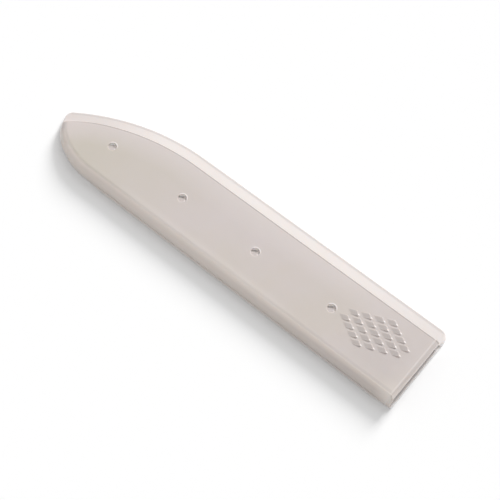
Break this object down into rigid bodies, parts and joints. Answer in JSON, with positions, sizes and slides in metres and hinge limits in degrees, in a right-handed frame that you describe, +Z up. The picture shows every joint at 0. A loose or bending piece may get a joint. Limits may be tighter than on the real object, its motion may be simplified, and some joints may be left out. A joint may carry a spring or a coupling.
{
  "type": "knife blade guard",
  "caption": "Translucent plastic clamshell sheath for a narrow kitchen knife blade, with a finger lip, a row of dimples that press on the blade, a thumb grip and a living hinge.",
  "frame": {"origin": "centre of the bounding box in plan, on the flat outside of the back cover, which lies on the table", "axes": "+X along the guard from the closed nose to the open mouth, +Y from the hinge side to the finger lip, +Z up from the back cover through the front cover"},
  "size_m": [0.218, 0.0462, 0.0075],
  "materials": {
    "back_plastic": "satin moulded natural polypropylene, slightly translucent",
    "front_plastic": "satin moulded natural polypropylene, slightly translucent"
  },
  "bodies": {
    "back_half": {"back_cover": "back_plastic", "hinge_web": "front_plastic"},
    "front_half": {"front_cover": "front_plastic"}
  },
  "joints": [
    {"name": "cover_hinge", "type": "hinge", "parent": "back_half", "child": "front_half", "pos_m": [0, -0.02258, 0.00145], "axis": [1, 0, 0], "range_deg": [0, 180], "deforming": ["hinge_web"]}
  ]
}
